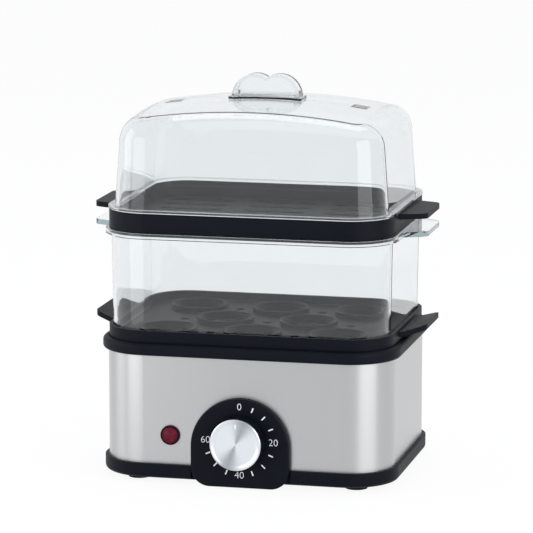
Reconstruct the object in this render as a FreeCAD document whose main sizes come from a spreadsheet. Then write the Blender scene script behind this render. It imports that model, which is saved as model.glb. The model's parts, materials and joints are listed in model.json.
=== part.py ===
import FreeCAD, Part
import math
import os
import re
import Sketcher

Vector = FreeCAD.Vector
Rotation = FreeCAD.Rotation

# Places closer than this are one place
TOUCH = 1e-4

# The frame: X to the right, front at -Y, Z up, origin on the table under the middle of the housing.
# Driving sizes in millimetres and degrees, and counts
SIZES = {
    # housing
    "body_width": 184.0,
    "body_depth": 143.0,
    "body_corner": 28.8,
    "steel_height": 68.8,
    "steel_gauge": 0.6,
    # clearances: pieces put together, lift-off pieces, nested outlines, round on flat, running fits
    "fit_gap": 0.3,
    "seat_gap": 0.2,
    "nest_gap": 0.4,
    "contact_gap": 0.05,
    "hole_gap": 0.1,
    "run_gap": 0.05,
    # feet
    "foot_height": 3.4,
    "foot_radius": 7.0,
    "foot_flare": 0.8,
    "foot_stem_radius": 2.5,
    "foot_head_radius": 3.6,
    "foot_head_height": 1.5,
    "foot_inset_x": 22.0,
    "foot_inset_y": 16.5,
    # bottom pan
    "pan_height": 9.3,
    "pan_overhang": 2.6,
    "pan_wall": 2.4,
    "pan_floor": 2.4,
    "pan_round": 3.0,
    "lip_height": 5.0,
    "pan_vent_length": 34.0,
    "pan_vent_width": 3.0,
    "pan_vent_pitch": 9.0,
    "pan_vent_count": 7,
    "boss_radius": 6.0,
    "boss_rise": 3.0,
    # screws and the posts that take them
    "screw_radius": 1.7,
    "screw_length": 14.0,
    "screw_head_radius": 3.3,
    "screw_head_height": 2.2,
    "post_radius": 4.5,
    "post_inset": 11.5,
    "post_spread": 32.0,
    # top frame
    "bead_height": 7.9,
    "bead_overhang": 3.6,
    "bead_round": 3.0,
    "bead_underround": 2.2,
    "deck_height": 4.0,
    "skirt_depth": 6.0,
    "frame_wall": 2.4,
    # water dish
    "dish_width": 150.0,
    "dish_depth": 109.0,
    "dish_corner": 24.0,
    "dish_drop": 10.0,
    "dish_gauge": 0.8,
    "dish_flange": 5.0,
    "dish_round": 4.0,
    "gasket_height": 1.2,
    "stud_radius": 2.0,
    "stud_spread": 22.0,
    "stud_tail": 5.0,
    # heater and its safety pieces
    "heater_radius": 3.4,
    "loop_width": 112.0,
    "loop_depth": 68.0,
    "loop_corner": 24.0,
    "loop_opening": 50.0,
    "pin_radius": 1.2,
    "pin_length": 8.0,
    "clip_length": 126.0,
    "clip_width": 14.0,
    "clip_gauge": 1.2,
    "nut_radius": 4.0,
    "nut_height": 3.0,
    "thermostat_radius": 8.5,
    "blade_width": 6.3,
    "blade_gauge": 0.8,
    "blade_length": 8.5,
    "fuse_radius": 2.0,
    "fuse_length": 11.0,
    "fuse_lead_radius": 0.6,
    "fuse_lead_length": 4.0,
    "fuse_offset": 5.0,
    "fuse_drop": 12.0,
    # dial panel, knob and lamp
    "panel_half": 31.5,
    "panel_thick": 5.0,
    "panel_clearance": 0.7,
    "panel_corner": 12.0,
    "panel_round": 1.2,
    "arch_height": 25.7,
    "dial_height": 30.6,
    "knob_radius": 16.8,
    "knob_draft": 0.4,
    "knob_gap": 0.6,
    "knob_depth": 8.9,
    "knob_bore_depth": 6.9,
    "cap_radius": 16.2,
    "cap_thick": 1.2,
    "cap_rim_width": 1.5,
    "cap_rim_height": 0.8,
    "lamp_offset": 45.5,
    "lamp_height": 31.3,
    "lens_radius": 6.2,
    "lens_flange": 1.2,
    "lens_dome": 1.2,
    "barrel_radius": 4.8,
    "barrel_wall": 1.2,
    "barrel_length": 9.0,
    "ring_radius": 7.0,
    "ring_height": 2.0,
    "bulb_radius": 2.6,
    "bulb_length": 16.0,
    "bulb_setback": 3.0,
    # clockwork timer
    "timer_width": 40.0,
    "timer_height": 36.0,
    "timer_drop": 12.4,
    "timer_depth": 25.0,
    "timer_wall": 1.6,
    "shaft_radius": 3.0,
    "flat_depth": 1.0,
    "cam_start": 4.0,
    "cam_thick": 2.0,
    "cam_radius": 8.0,
    "cam_notch": 2.0,
    "gear_start": 8.0,
    "gear_thick": 2.5,
    "gear_module": 0.5,
    "gear_teeth": 36,
    "pinion_teeth": 12,
    "pinion_thick": 4.0,
    "arbor_radius": 1.0,
    "mesh_gap": 0.15,
    "spring_start": 13.0,
    "spring_width": 8.0,
    "spring_radius": 10.0,
    "contact_width": 4.8,
    "contact_gauge": 0.5,
    "contact_spread": 5.0,
    "contact_tail": 7.0,
    "bell_radius": 17.0,
    "bell_gauge": 0.8,
    "bell_rim": 5.0,
    "bell_post_radius": 3.5,
    "bell_post_length": 7.0,
    "bell_rivet_radius": 1.5,
    "timer_screw_spread": 11.0,
    "timer_screw_bite": 6.0,
    # supply
    "gland_offset": 45.0,
    "gland_rise": 2.0,
    "gland_bore": 3.3,
    "gland_neck_radius": 6.2,
    "gland_radius": 8.5,
    "gland_body_length": 5.0,
    "gland_cap_radius": 7.4,
    "gland_cap_length": 8.5,
    "gland_thread_length": 6.0,
    "gland_nut_height": 3.0,
    "block_length": 26.0,
    "block_width": 13.0,
    "block_height": 14.0,
    "block_setback": 26.0,
    "block_pole": 7.0,
    "wire_radius": 1.1,
    "wire_space": 0.8,
    "lead_short": 9.0,
    "lead_long": 14.0,
    # egg tray
    "tray_inset": 0.5,
    "tray_wall": 2.2,
    "tray_height": 11.0,
    "tray_recess": 5.3,
    "tray_floor": 2.2,
    "seat_radius": 14.5,
    "collar_radius": 18.5,
    "collar_height": 3.0,
    "collar_edge": 1.2,
    "egg_pitch_x": 54.5,
    "egg_pitch_y": 40.0,
    "steam_hole_radius": 3.0,
    # tabs on the trays and the shell
    "tab_reach": 15.5,
    "tab_root": 58.0,
    "tab_tip": 44.0,
    "tab_thick": 3.3,
    "tab_round": 6.0,
    "tab_knee": 3.0,
    "tab_overlap": 1.2,
    "egg_tab_drop": 5.0,
    "egg_tab_rise": 4.0,
    "steam_tab_drop": 4.5,
    # middle shell
    "shell_height": 63.2,
    "shell_draft": 0.8,
    "shell_wall": 2.0,
    "flange_thick": 1.6,
    "upstand_height": 1.7,
    "upstand_wall": 1.8,
    # steam tray
    "steam_inset": 0.8,
    "steam_wall": 2.3,
    "steam_height": 14.0,
    "steam_recess": 10.4,
    "steam_floor": 2.2,
    "slot_length": 40.0,
    "slot_width": 4.0,
    "slot_pitch_x": 54.0,
    "slot_pitch_y": 17.0,
    "slot_columns": 3,
    "slot_rows": 7,
    # lid
    "lid_gap": 1.0,
    "lid_flange_inset": 0.3,
    "lid_flange": 1.6,
    "lid_skirt": 4.0,
    "lid_height": 65.4,
    "lid_wall": 2.2,
    "lid_draft": 4.2,
    "lid_round": 15.5,
    "roof_radius": 450.0,
    "vent_length": 10.0,
    "vent_width": 1.8,
    "vent_pitch": 4.5,
    "vent_offset": 60.0,
    "vent_count": 3,
    "seat_pad_length": 47.0,
    "seat_pad_width": 15.0,
    "seat_pad_rise": 1.2,
    # lid handle
    "lobe_offset": 7.5,
    "lobe_radius": 14.3,
    "lobe_drop": 0.5,
    "handle_thick": 11.0,
    "handle_wall": 1.8,
    "leg_length": 3.0,
    "leg_width": 6.0,
    "leg_tail": 3.0,
    "barb_reach": 0.8,
    "barb_height": 1.6,
}

# Levels and outlines worked out from the driving sizes
DERIVED = {
    "half_width": "body_width / 2",
    "half_depth": "body_depth / 2",
    "inner_face": "half_depth - steel_gauge",
    "steel_base": "foot_height + pan_height",
    "steel_top": "steel_base + steel_height",
    "pan_inside": "foot_height + pan_floor",
    "boss_top": "pan_inside + boss_rise",
    "lining": "steel_gauge + fit_gap",
    "bead_top": "steel_top + bead_height",
    "deck_top": "steel_top + deck_height",
    "post_x": "half_width - post_inset",
    "foot_x": "half_width - foot_inset_x",
    "foot_y": "half_depth - foot_inset_y",
    "dish_under": "deck_top - dish_drop",
    "flange_under": "deck_top - dish_gauge",
    "ledge": "flange_under - gasket_height",
    "heater_level": "dish_under - heater_radius - contact_gap",
    "clip_top": "dish_under - 2 * heater_radius - 2 * contact_gap",
    "clip_under": "clip_top - clip_gauge",
    "blade_level": "(dish_under + clip_top) / 2",
    "pin_end": "loop_opening / 2 - pin_length",
    "blade_tip": "thermostat_radius + blade_length",
    "wire_turn": "(blade_tip + loop_depth / 2 - heater_radius) / 2",
    "fuse_x": "-fuse_offset",
    "fuse_foot": "heater_level - fuse_drop - fuse_length - 2 * fuse_lead_length",
    "panel_face": "half_depth + panel_thick",
    "knob_back": "panel_face + knob_gap",
    "knob_face": "knob_back + knob_depth",
    "timer_rear": "timer_depth - inner_face",
    "mesh_distance": "gear_module * (gear_teeth + pinion_teeth) / 2 + mesh_gap",
    "pinion_height": "dial_height + mesh_distance",
    "contact_base": "dial_height + cam_radius + nest_gap",
    "timer_low": "dial_height - timer_drop",
    "timer_top": "timer_low + timer_height",
    "contact_top": "timer_top + contact_tail",
    "contact_y": "cam_start + cam_thick / 2 - inner_face",
    "wire_level": "contact_top - wire_radius - contact_gauge",
    "lip_top": "steel_base + lip_height",
    "gland_height": "lip_top + gland_radius + gland_rise",
    "block_y": "half_depth - block_setback",
    "block_front": "block_y - block_width / 2",
    "block_top": "pan_inside + block_height",
    "tray_base": "deck_top + seat_gap",
    "tray_top": "tray_base + tray_height",
    "tray_floor_top": "tray_top - tray_recess",
    "tray_floor_under": "tray_floor_top - tray_floor",
    "shell_inset": "tray_inset + tray_wall + nest_gap",
    "shell_base": "tray_floor_top + seat_gap",
    "shell_flange": "shell_base + shell_height",
    "shell_spread": "shell_height * tan(shell_draft * 1 deg)",
    "shell_seat": "shell_flange + flange_thick",
    "upstand_inset": "steam_inset - nest_gap",
    "steam_base": "shell_seat + seat_gap",
    "steam_top": "steam_base + steam_height",
    "steam_floor_top": "steam_top - steam_recess",
    "steam_floor_under": "steam_floor_top - steam_floor",
    "lid_base": "steam_top + seat_gap",
    "lid_foot": "lid_base - lid_skirt",
    "lid_inset": "steam_inset + steam_wall + lid_gap",
    "roof_top": "lid_base + lid_height",
    "roof_span": "lid_height + lid_skirt",
    "lid_lean": "roof_span * tan(lid_draft * 1 deg)",
    "handle_base": "roof_top + seat_pad_rise",
    "leg_reach": "sqrt(lobe_radius^2 - (lobe_drop + leg_length)^2)",
    "leg_x": "lobe_offset + leg_reach - leg_length / 2 - fit_gap",
}

doc = FreeCAD.newDocument("egg_cooker")
dims = doc.addObject("Spreadsheet::Sheet", "dims")
levels = doc.addObject("Spreadsheet::Sheet", "levels")
nodes = []


def formula(text):
    # An expression in plain size names, with each name pointed at its sheet
    def point(match):
        word = match.group()
        if word in SIZES:
            return "dims." + word
        if word in DERIVED:
            return "levels." + word
        return word
    return re.sub(r"[a-z_]+", point, str(text))


def number(text):
    return float(dims.evalExpression(formula(text)))


def bind(item, name, text):
    item.setExpression(name, formula(text))


def fill_sheets():
    for row, (name, size) in enumerate(SIZES.items(), start=1):
        dims.set(f"A{row}", name)
        dims.set(f"B{row}", str(size))
        dims.setAlias(f"B{row}", name)
    doc.recompute()
    for row, (name, text) in enumerate(DERIVED.items(), start=1):
        levels.set(f"A{row}", name)
        levels.set(f"B{row}", "=" + formula(text))
        levels.setAlias(f"B{row}", name)
        doc.recompute()


def add_node(item, label):
    item.Label = label
    nodes.append(item)
    return item


# Bodies and sketches

def new_body(name):
    return doc.addObject("PartDesign::Body", name)


def new_sketch(body, name, role, offset="0"):
    plane = next(item for item in body.Origin.OriginFeatures if item.Role == role)
    sketch = body.newObject("Sketcher::SketchObject", name)
    sketch.AttachmentSupport = [(plane, "")]
    sketch.MapMode = "FlatFace"
    bind(sketch, "AttachmentOffset.Base.z", offset)
    return sketch


def add_size(sketch, constraint, text, name):
    index = sketch.addConstraint(constraint)
    sketch.renameConstraint(index, name)
    bind(sketch, f"Constraints.{name}", text)


def pin_point(sketch, geometry, vertex, x, y, name):
    # Holds a point at x, y from the sketch's origin, on whichever side of each axis it lies
    for axis, text, kind in ((-2, x, "DistanceX"), (-1, y, "DistanceY")):
        place = number(text)
        if abs(place) < TOUCH:
            sketch.addConstraint(Sketcher.Constraint("PointOnObject", geometry, vertex, axis))
        elif place > 0:
            size = Sketcher.Constraint(kind, -1, 1, geometry, vertex, place)
            add_size(sketch, size, text, f"{name}_{kind}")
        else:
            size = Sketcher.Constraint(kind, geometry, vertex, -1, 1, -place)
            add_size(sketch, size, f"-({text})", f"{name}_{kind}")


def draw_polygon(sketch, points):
    places = [Vector(number(x), number(y), 0) for x, y in points]
    count = len(places)
    lines = [Part.LineSegment(places[i], places[(i + 1) % count]) for i in range(count)]
    first = sketch.addGeometry(lines, False)[0]
    for i in range(count):
        after = first + (i + 1) % count
        sketch.addConstraint(Sketcher.Constraint("Coincident", first + i, 2, after, 1))
    for i, (x, y) in enumerate(points):
        pin_point(sketch, first + i, 1, x, y, f"point{i}")


def draw_circle(sketch, x, y, radius):
    centre = Vector(number(x), number(y), 0)
    ring = sketch.addGeometry(Part.Circle(centre, Vector(0, 0, 1), number(radius)))
    pin_point(sketch, ring, 3, x, y, "centre")
    add_size(sketch, Sketcher.Constraint("Radius", ring, number(radius)), radius, "radius")


def arc(x, y, radius, start, end):
    circle = Part.Circle(Vector(x, y, 0), Vector(0, 0, 1), radius)
    return Part.ArcOfCircle(circle, math.radians(start), math.radians(end))


def draw_rounded_rectangle(sketch, width, depth, corner):
    right = number(width) / 2
    back = number(depth) / 2
    radius = number(corner)
    x = right - radius
    y = back - radius
    outline = [
        Part.LineSegment(Vector(-x, -back, 0), Vector(x, -back, 0)),
        arc(x, -y, radius, -90, 0),
        Part.LineSegment(Vector(right, -y, 0), Vector(right, y, 0)),
        arc(x, y, radius, 0, 90),
        Part.LineSegment(Vector(x, back, 0), Vector(-x, back, 0)),
        arc(-x, y, radius, 90, 180),
        Part.LineSegment(Vector(-right, y, 0), Vector(-right, -y, 0)),
        arc(-x, -y, radius, 180, 270),
    ]
    sketch.addGeometry(outline, False)
    for i in range(8):
        sketch.addConstraint(Sketcher.Constraint("Tangent", i, 2, (i + 1) % 8, 1))
    for line in (0, 4):
        sketch.addConstraint(Sketcher.Constraint("Horizontal", line))
    for line in (2, 6):
        sketch.addConstraint(Sketcher.Constraint("Vertical", line))
    for bend in (3, 5, 7):
        sketch.addConstraint(Sketcher.Constraint("Equal", 1, bend))
    sketch.addConstraint(Sketcher.Constraint("Symmetric", 1, 3, 5, 3, -1, 1))
    add_size(sketch, Sketcher.Constraint("DistanceX", 6, 1, 2, 1, 2 * right), width, "width")
    add_size(sketch, Sketcher.Constraint("DistanceY", 0, 1, 4, 1, 2 * back), depth, "depth")
    add_size(sketch, Sketcher.Constraint("Radius", 1, radius), corner, "corner")


def outline_at(body, name, level, inset, corner="body_corner"):
    # A rounded rectangle that keeps the housing's outline, drawn in by an inset on every side
    sketch = new_sketch(body, name, "XY_Plane", level)
    width = f"body_width - 2 * ({inset})"
    depth = f"body_depth - 2 * ({inset})"
    draw_rounded_rectangle(sketch, width, depth, f"{corner} - ({inset})")
    return sketch


def dish_at(body, name, level, spread):
    # A rounded rectangle that keeps the water dish's outline, let out by a spread on every side
    sketch = new_sketch(body, name, "XY_Plane", level)
    width = f"dish_width + 2 * ({spread})"
    depth = f"dish_depth + 2 * ({spread})"
    draw_rounded_rectangle(sketch, width, depth, f"dish_corner + ({spread})")
    return sketch


def pad(body, name, sketch, length, side="One side", reverse=False):
    feature = body.newObject("PartDesign::Pad", name)
    feature.Profile = sketch
    feature.SideType = side
    feature.Reversed = reverse
    bind(feature, "Length", length)
    return feature


def pocket(body, name, sketch, length, reverse=False):
    doc.recompute()
    before = body.Shape.Volume
    feature = body.newObject("PartDesign::Pocket", name)
    feature.Profile = sketch
    feature.Reversed = reverse
    bind(feature, "Length", length)
    doc.recompute()
    if not body.Shape.Volume < before:
        raise ValueError(f"{name} cuts nothing")
    return feature


def loft(body, name, kind, lower, upper):
    feature = body.newObject(kind, name)
    feature.Profile = lower
    feature.Sections = [upper]
    feature.Ruled = True
    return feature


def revolve(body, name, sketch, axis="V_Axis", kind="PartDesign::Revolution"):
    feature = body.newObject(kind, name)
    feature.Profile = sketch
    feature.ReferenceAxis = (sketch, [axis])
    feature.Angle = 360
    return feature


def round_edges(body, name, radius, wanted):
    doc.recompute()
    base = body.Tip
    edges = [f"Edge{i}" for i, edge in enumerate(base.Shape.Edges, start=1) if wanted(edge)]
    feature = body.newObject("PartDesign::Fillet", name)
    feature.Base = (base, edges)
    bind(feature, "Radius", radius)
    return feature


def lies_at(height):
    level = number(height)

    def test(edge):
        box = edge.BoundBox
        return abs(box.ZMin - level) < TOUCH and abs(box.ZMax - level) < TOUCH
    return test


def stands_upright(edge):
    box = edge.BoundBox
    return box.XLength < TOUCH and box.YLength < TOUCH


# Primitives and booleans

TURNS = {
    "up": Rotation(),
    "front": Rotation(Vector(1, 0, 0), 90),
    "back": Rotation(Vector(1, 0, 0), -90),
    "right": Rotation(Vector(0, 1, 0), 90),
    "left": Rotation(Vector(0, 1, 0), -90),
}


def place(item, x, y, z, facing="up"):
    item.Placement = FreeCAD.Placement(Vector(), TURNS[facing])
    for letter, text in zip("xyz", (x, y, z)):
        bind(item, f"Placement.Base.{letter}", text)
    return item


def cylinder(name, radius, height, x, y, z, facing="up"):
    item = doc.addObject("Part::Cylinder", name)
    bind(item, "Radius", radius)
    bind(item, "Height", height)
    return place(item, x, y, z, facing)


def cone(name, lower, upper, height, x, y, z, facing="up"):
    item = doc.addObject("Part::Cone", name)
    bind(item, "Radius1", lower)
    bind(item, "Radius2", upper)
    bind(item, "Height", height)
    return place(item, x, y, z, facing)


def box(name, length, width, height, x, y, z):
    # A box placed by the middle of its bottom face
    item = doc.addObject("Part::Box", name)
    bind(item, "Length", length)
    bind(item, "Width", width)
    bind(item, "Height", height)
    return place(item, f"{x} - ({length}) / 2", f"{y} - ({width}) / 2", z)


def join(name, pieces):
    item = doc.addObject("Part::MultiFuse", name)
    item.Shapes = pieces
    item.Refine = True
    return item


def cut(name, base, tools):
    tool = tools[0] if len(tools) == 1 else join(name + "_tools", tools)
    item = doc.addObject("Part::Cut", name)
    item.Base = base
    item.Tool = tool
    item.Refine = True
    return item


def mirror(name, source):
    item = doc.addObject("Part::Mirroring", name)
    item.Source = source
    item.Normal = Vector(1, 0, 0)
    return item


def corners(x, y):
    # The four signed places of something that repeats in every quarter
    return [(f"{i} * {x}", f"{j} * {y}") for i in (-1, 1) for j in (-1, 1)]


# Housing

def make_bottom_pan():
    body = new_body("pan_shell")
    base = outline_at(body, "pan_outline", "foot_height", "-pan_overhang")
    pad(body, "pan_block", base, "pan_height")
    round_edges(body, "pan_rounding", "pan_round", lies_at("foot_height"))
    pad(body, "pan_lip", outline_at(body, "lip_outline", "steel_base", "lining"), "lip_height")
    inside = outline_at(body, "pan_inside_outline", "steel_base + lip_height", "lining + pan_wall")
    pocket(body, "pan_hollow", inside, "lip_height + pan_height - pan_floor")
    bosses = []
    holes = []
    for i, (x, y) in enumerate(corners("post_x", "post_spread")):
        bosses.append(cylinder(f"pan_boss{i}", "boss_radius", "boss_rise + pan_floor", x, y, "foot_height"))
        radius = "screw_radius + hole_gap"
        holes.append(cylinder(f"screw_way{i}", radius, "boss_rise + pan_floor", x, y, "foot_height"))
        radius = "screw_head_radius + fit_gap"
        depth = "screw_head_height + fit_gap"
        holes.append(cylinder(f"head_way{i}", radius, depth, x, y, "foot_height"))
    for i, (x, y) in enumerate(corners("foot_x", "foot_y")):
        radius = "foot_stem_radius + hole_gap"
        holes.append(cylinder(f"stem_way{i}", radius, "pan_floor", x, y, "foot_height"))
    holes.append(box("timer_way", "timer_width + 2 * fit_gap", "2 * (fit_gap + pan_wall)", "timer_height",
                     "0", "-inner_face", "timer_low - fit_gap"))
    count = int(number("pan_vent_count"))
    for i in range(count):
        x = f"{i - (count - 1) / 2} * pan_vent_pitch"
        holes.append(box(f"pan_vent{i}", "pan_vent_width", "pan_vent_length", "pan_floor", x, "0",
                         "foot_height"))
    width = "2 * (panel_half + fit_gap)"
    front = "-half_depth - pan_overhang / 2"
    holes.append(box("panel_way", width, "pan_overhang", "pan_height", "0", front, "foot_height"))
    add_node(cut("bottom_pan", join("pan_bossed", [body] + bosses), holes), "bottom_pan")


def make_feet():
    names = ("foot_front_left", "foot_rear_left", "foot_front_right", "foot_rear_right")
    for name, (x, y) in zip(names, corners("foot_x", "foot_y")):
        sole = cone(name + "_sole", "foot_radius", "foot_radius + foot_flare", "foot_height", x, y, "0")
        stem = cylinder(name + "_stem", "foot_stem_radius", "foot_height + pan_floor", x, y, "0")
        head = cylinder(name + "_head", "foot_head_radius", "foot_head_height", x, y, "pan_inside")
        add_node(join(name, [sole, stem, head]), name)


def make_steel_band():
    body = new_body("steel_sleeve")
    pad(body, "sleeve_block", outline_at(body, "sleeve_outline", "steel_base", "0"), "steel_height")
    inside = outline_at(body, "sleeve_inside", "steel_top", "steel_gauge")
    pocket(body, "sleeve_hollow", inside, "steel_height")
    deep = "3 * steel_gauge"
    front = "-inner_face + steel_gauge"
    holes = [
        cylinder("shaft_way", "shaft_radius + run_gap + fit_gap", deep, "0", front, "dial_height", "front"),
        cylinder("lamp_way", "barrel_radius + hole_gap", deep, "-lamp_offset", front, "lamp_height", "front"),
        cylinder("gland_way", "gland_neck_radius + hole_gap", deep, "gland_offset",
                 "inner_face - steel_gauge", "gland_height", "back"),
    ]
    for side in (-1, 1):
        x = f"{side} * timer_screw_spread"
        radius = "screw_radius + hole_gap"
        holes.append(cylinder(f"timer_screw_way{side + 1}", radius, deep, x, front, "dial_height", "front"))
    add_node(cut("steel_band", body, holes), "steel_band")


def make_top_frame():
    body = new_body("frame_shell")
    base = outline_at(body, "bead_outline", "steel_top", "-bead_overhang")
    pad(body, "bead_block", base, "bead_height")
    round_edges(body, "bead_rounding", "bead_round", lies_at("bead_top"))
    round_edges(body, "bead_underside", "bead_underround", lies_at("steel_top"))
    skirt = outline_at(body, "skirt_outline", "steel_top", "lining")
    pad(body, "skirt_block", skirt, "skirt_depth", reverse=True)
    well = outline_at(body, "tray_well", "bead_top", "tray_inset - nest_gap")
    pocket(body, "tray_well_cut", well, "bead_height - deck_height")
    hollow = outline_at(body, "skirt_inside", "steel_top - skirt_depth", "lining + frame_wall")
    pocket(body, "skirt_hollow", hollow, "skirt_depth", reverse=True)
    seat = dish_at(body, "dish_seat", "deck_top", "dish_flange + fit_gap")
    pocket(body, "dish_seat_cut", seat, "deck_top - ledge")
    opening = dish_at(body, "dish_opening", "deck_top", "fit_gap")
    pocket(body, "dish_opening_cut", opening, "deck_height")
    posts = []
    holes = []
    length = "steel_top - boss_top"
    for i, (x, y) in enumerate(corners("post_x", "post_spread")):
        posts.append(cylinder(f"frame_post{i}", "post_radius", length, x, y, "boss_top"))
        radius = "screw_radius + hole_gap"
        holes.append(cylinder(f"post_pilot{i}", radius, "screw_length", x, y, "boss_top"))
    add_node(cut("top_frame", join("frame_posted", [body] + posts), holes), "top_frame")


def make_pan_screws():
    screws = []
    seat = "foot_height + screw_head_height + fit_gap"
    for i, (x, y) in enumerate(corners("post_x", "post_spread")):
        head = cylinder(f"pan_screw_head{i}", "screw_head_radius", "screw_head_height", x, y,
                        "foot_height + fit_gap")
        shank = cylinder(f"pan_screw_shank{i}", "screw_radius", "screw_length", x, y, seat)
        screws += [head, shank]
    add_node(join("pan_screws", screws), "pan_screws")


# Water dish and heater

def make_dish():
    gasket = new_body("dish_gasket")
    pad(gasket, "gasket_block", dish_at(gasket, "gasket_outline", "ledge", "dish_flange"), "gasket_height")
    inside = dish_at(gasket, "gasket_inside", "ledge + gasket_height", "fit_gap")
    pocket(gasket, "gasket_hollow", inside, "gasket_height")
    add_node(gasket, "dish_gasket")

    body = new_body("dish_shell")
    pad(body, "bowl_block", dish_at(body, "bowl_outline", "dish_under", "0"), "dish_drop")
    round_edges(body, "bowl_rounding", "dish_round", lies_at("dish_under"))
    pad(body, "flange_block", dish_at(body, "flange_outline", "flange_under", "dish_flange"), "dish_gauge")
    hollow = new_body("dish_hollow")
    floor = "dish_under + dish_gauge"
    inside = dish_at(hollow, "bowl_inside", floor, "-dish_gauge")
    pad(hollow, "bowl_hollow", inside, "dish_drop - dish_gauge")
    round_edges(hollow, "bowl_inside_rounding", "dish_round - dish_gauge", lies_at(floor))
    studs = [cut("dish_bowl", body, [hollow])]
    for side in (-1, 1):
        length = "dish_under - clip_under + stud_tail"
        x = f"{side} * stud_spread"
        studs.append(cylinder(f"dish_stud{side + 1}", "stud_radius", length, x, "0",
                              "clip_under - stud_tail"))
    add_node(join("heating_dish", studs), "heating_dish")


def draw_heater_path(sketch):
    # A rounded rectangle left open in the middle of its back run
    right = number("loop_width / 2")
    back = number("loop_depth / 2")
    radius = number("loop_corner")
    end = number("loop_opening / 2")
    x = right - radius
    y = back - radius
    path = [
        Part.LineSegment(Vector(end, back, 0), Vector(x, back, 0)),
        arc(x, y, radius, 0, 90),
        Part.LineSegment(Vector(right, y, 0), Vector(right, -y, 0)),
        arc(x, -y, radius, -90, 0),
        Part.LineSegment(Vector(x, -back, 0), Vector(-x, -back, 0)),
        arc(-x, -y, radius, 180, 270),
        Part.LineSegment(Vector(-right, -y, 0), Vector(-right, y, 0)),
        arc(-x, y, radius, 90, 180),
        Part.LineSegment(Vector(-x, back, 0), Vector(-end, back, 0)),
    ]
    sketch.addGeometry(path, False)
    for line in (0, 2, 4, 6):
        sketch.addConstraint(Sketcher.Constraint("Tangent", line, 2, line + 1, 2))
        sketch.addConstraint(Sketcher.Constraint("Tangent", line + 1, 1, line + 2, 1))
    for line in (0, 4, 8):
        sketch.addConstraint(Sketcher.Constraint("Horizontal", line))
    for line in (2, 6):
        sketch.addConstraint(Sketcher.Constraint("Vertical", line))
    for bend in (3, 5, 7):
        sketch.addConstraint(Sketcher.Constraint("Equal", 1, bend))
    sketch.addConstraint(Sketcher.Constraint("Symmetric", 1, 3, 5, 3, -1, 1))
    sketch.addConstraint(Sketcher.Constraint("Symmetric", 0, 1, 8, 2, -2))
    add_size(sketch, Sketcher.Constraint("DistanceX", 6, 1, 2, 1, 2 * right), "loop_width", "width")
    add_size(sketch, Sketcher.Constraint("DistanceY", 4, 1, 0, 1, 2 * back), "loop_depth", "depth")
    add_size(sketch, Sketcher.Constraint("Radius", 1, radius), "loop_corner", "corner")
    add_size(sketch, Sketcher.Constraint("DistanceX", 8, 2, 0, 1, 2 * end), "loop_opening", "opening")


def make_heater():
    body = new_body("heater_tube")
    path = new_sketch(body, "heater_path", "XY_Plane", "heater_level")
    draw_heater_path(path)
    section = new_sketch(body, "heater_section", "YZ_Plane", "loop_opening / 2")
    draw_circle(section, "loop_depth / 2", "heater_level", "heater_radius")
    pipe = body.newObject("PartDesign::AdditivePipe", "heater_pipe")
    pipe.Profile = section
    pipe.Spine = path
    pins = [body]
    for side, facing in ((1, "left"), (-1, "right")):
        x = f"{side} * (loop_opening / 2 + pin_length)"
        pins.append(cylinder(f"heater_pin{side + 1}", "pin_radius", "2 * pin_length", x, "loop_depth / 2",
                             "heater_level", facing))
    add_node(join("heater_element", pins), "heater_element")

    strip = box("clip_strip", "clip_length", "clip_width", "clip_gauge", "0", "0", "clip_under")
    ways = []
    nuts = []
    for side in (-1, 1):
        x = f"{side} * stud_spread"
        radius = "stud_radius + hole_gap"
        ways.append(cylinder(f"clip_way{side + 1}", radius, "clip_gauge", x, "0", "clip_under"))
        nut = doc.addObject("Part::Prism", f"clip_nut{side + 1}")
        nut.Polygon = 6
        bind(nut, "Circumradius", "nut_radius")
        bind(nut, "Height", "nut_height")
        place(nut, x, "0", "clip_under - nut_height")
        bore = cylinder(f"nut_bore{side + 1}", radius, "nut_height", x, "0", "clip_under - nut_height")
        nuts.append(cut(f"clip_nut_bored{side + 1}", nut, [bore]))
    add_node(cut("heater_clip", strip, ways), "heater_clip")
    add_node(join("clip_nuts", nuts), "clip_nuts")


def make_safety_pieces():
    height = "dish_under - clip_top - contact_gap"
    can = cylinder("thermostat_can", "thermostat_radius", height, "0", "0", "clip_top")
    blades = box("thermostat_blades", "blade_width", "2 * blade_tip", "blade_gauge", "0", "0",
                 "blade_level - blade_gauge / 2")
    add_node(join("thermostat", [can, blades]), "thermostat")

    length = "fuse_length + 2 * fuse_lead_length"
    lead = cylinder("fuse_lead", "fuse_lead_radius", length, "fuse_x", "loop_depth / 2", "fuse_foot")
    can = cylinder("fuse_can", "fuse_radius", "fuse_length", "fuse_x", "loop_depth / 2",
                   "fuse_foot + fuse_lead_length")
    add_node(join("thermal_fuse", [lead, can]), "thermal_fuse")


# Front: dial panel, knob and lamp

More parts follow.
